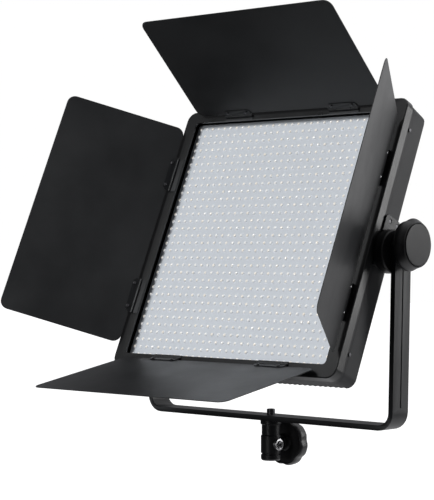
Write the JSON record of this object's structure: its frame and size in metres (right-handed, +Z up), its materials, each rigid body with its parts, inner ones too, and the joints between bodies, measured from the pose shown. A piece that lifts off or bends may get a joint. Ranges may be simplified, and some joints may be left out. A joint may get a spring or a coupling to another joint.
{
  "type": "led panel light",
  "caption": "Square LED panel light with hinged barn doors, hung in a U-shaped yoke with tilt knobs and a stand spigot adapter.",
  "frame": {"origin": "centre of the mouth of the socket under the yoke, which takes a light stand spigot", "axes": "+Z up along the stand, +X to the right of the light seen from the front, -Y is the side the light faces; the head is tilted up by 23.88 degrees at rest"},
  "size_m": [0.5471, 0.3546, 0.5697],
  "materials": {
    "satin_black_metal": "satin black powder coat",
    "door_sheet_black": "matt black anodised sheet",
    "casing_black": "fine textured dark grey-black",
    "black_plastic": "matt black moulding",
    "soft_black_plastic": "soft-touch dark grey moulding",
    "knob_cap_plastic": "satin dark grey disc",
    "gloss_black": "gloss black",
    "bright_steel": "bright plated steel",
    "dark_steel": "black oxide steel",
    "bare_aluminium": "plain sheet",
    "white_led_board": "white solder mask",
    "circuit_board": "green solder mask"
  },
  "bodies": {
    "stand_mount": {"yoke": "satin_black_metal", "stand_adapter": "satin_black_metal", "yoke_bolt": "dark_steel", "adapter_set_screw": "bright_steel"},
    "stand_lock": {"stand_lock_knob": "soft_black_plastic", "stand_lock_bolt": "bright_steel"},
    "tilt_knob_right": {"tilt_knob_right": "soft_black_plastic", "tilt_knob_cap_right": "knob_cap_plastic", "tilt_bolt_right": "dark_steel"},
    "tilt_knob_left": {"tilt_knob_left": "soft_black_plastic", "tilt_knob_cap_left": "knob_cap_plastic", "tilt_bolt_left": "dark_steel"},
    "head": {"front_bezel": "casing_black", "rear_housing": "casing_black", "led_board": "white_led_board", "heat_spreader": "bare_aluminium", "driver_board": "circuit_board", "display_window": "gloss_black", "dc_inlet": "black_plastic", "battery_plate": "black_plastic", "side_plate_left": "satin_black_metal", "side_plate_right": "satin_black_metal", "pivot_boss_left": "black_plastic", "pivot_boss_right": "black_plastic", "side_plate_screw_left_1": "dark_steel", "side_plate_screw_left_2": "dark_steel", "side_plate_screw_right_1": "dark_steel", "side_plate_screw_right_2": "dark_steel", "housing_screw_left_upper": "dark_steel", "housing_screw_left_lower": "dark_steel", "housing_screw_right_upper": "dark_steel", "housing_screw_right_lower": "dark_steel", "hinge_bracket_left_1": "satin_black_metal", "hinge_bracket_left_2": "satin_black_metal", "hinge_bracket_right_1": "satin_black_metal", "hinge_bracket_right_2": "satin_black_metal", "hinge_bracket_top_1": "satin_black_metal", "hinge_bracket_top_2": "satin_black_metal", "hinge_bracket_bottom_1": "satin_black_metal", "hinge_bracket_bottom_2": "satin_black_metal"},
    "dimmer": {"dimmer_knob": "soft_black_plastic"},
    "power_switch": {"power_rocker": "gloss_black"},
    "door_left": {"door_left": "door_sheet_black", "hinge_leaf_left_1": "satin_black_metal", "hinge_leaf_left_2": "satin_black_metal"},
    "door_right": {"door_right": "door_sheet_black", "hinge_leaf_right_1": "satin_black_metal", "hinge_leaf_right_2": "satin_black_metal"},
    "door_top": {"door_top": "door_sheet_black", "hinge_leaf_top_1": "satin_black_metal", "hinge_leaf_top_2": "satin_black_metal"},
    "door_bottom": {"door_bottom": "door_sheet_black", "hinge_leaf_bottom_1": "satin_black_metal", "hinge_leaf_bottom_2": "satin_black_metal"},
    "button_1_body": {"button_1": "soft_black_plastic"},
    "button_2_body": {"button_2": "soft_black_plastic"},
    "button_3_body": {"button_3": "soft_black_plastic"}
  },
  "joints": [
    {"name": "head_tilt", "type": "hinge", "parent": "stand_mount", "child": "head", "pos_m": [0, 0, 0.272], "axis": [-1, 0, 0], "range_deg": [-32, 36]},
    {"name": "door_left_hinge", "type": "hinge", "parent": "head", "child": "door_left", "pos_m": [-0.1742, -0.03127, 0.28585], "axis": [0, 0.4048, 0.9144], "range_deg": [-11.4, 133.1]},
    {"name": "door_right_hinge", "type": "hinge", "parent": "head", "child": "door_right", "pos_m": [0.1742, -0.03127, 0.28585], "axis": [0, -0.4048, -0.9144], "range_deg": [-25.6, 118.9]},
    {"name": "door_top_hinge", "type": "hinge", "parent": "head", "child": "door_top", "pos_m": [0, 0.03767, 0.44157], "axis": [1, 0, 0], "range_deg": [-33.7, 96.3]},
    {"name": "door_bottom_hinge", "type": "hinge", "parent": "head", "child": "door_bottom", "pos_m": [0, -0.10021, 0.13012], "axis": [-1, 0, 0], "range_deg": [-20.9, 109.1]},
    {"name": "tilt_knob_right_turn", "type": "hinge", "parent": "stand_mount", "child": "tilt_knob_right", "pos_m": [0.215, 0, 0.272], "axis": [1, 0, 0], "continuous": true},
    {"name": "tilt_knob_left_turn", "type": "hinge", "parent": "stand_mount", "child": "tilt_knob_left", "pos_m": [-0.215, 0, 0.272], "axis": [-1, 0, 0], "continuous": true},
    {"name": "stand_lock_turn", "type": "hinge", "parent": "stand_mount", "child": "stand_lock", "pos_m": [0, 0.03, 0.0205], "axis": [0, 1, 0], "continuous": true},
    {"name": "dimmer_turn", "type": "hinge", "parent": "head", "child": "dimmer", "pos_m": [0.07, 0.0744, 0.35608], "axis": [0, 0.9144, -0.4048], "continuous": true},
    {"name": "power_rocker_tip", "type": "hinge", "parent": "head", "child": "power_switch", "pos_m": [-0.096, 0.07481, 0.35699], "axis": [1, 0, 0], "range_deg": [0, 10]},
    {"name": "button_1_press", "type": "slide", "parent": "head", "child": "button_1_body", "axis": [0, -0.9144, 0.4048], "range_m": [0, 0.0012], "stiffness_N_per_m": 300, "springref_m": -0.0005},
    {"name": "button_2_press", "type": "slide", "parent": "head", "child": "button_2_body", "axis": [0, -0.9144, 0.4048], "range_m": [0, 0.0012], "stiffness_N_per_m": 300, "springref_m": -0.0005},
    {"name": "button_3_press", "type": "slide", "parent": "head", "child": "button_3_body", "axis": [0, -0.9144, 0.4048], "range_m": [0, 0.0012], "stiffness_N_per_m": 300, "springref_m": -0.0005}
  ]
}
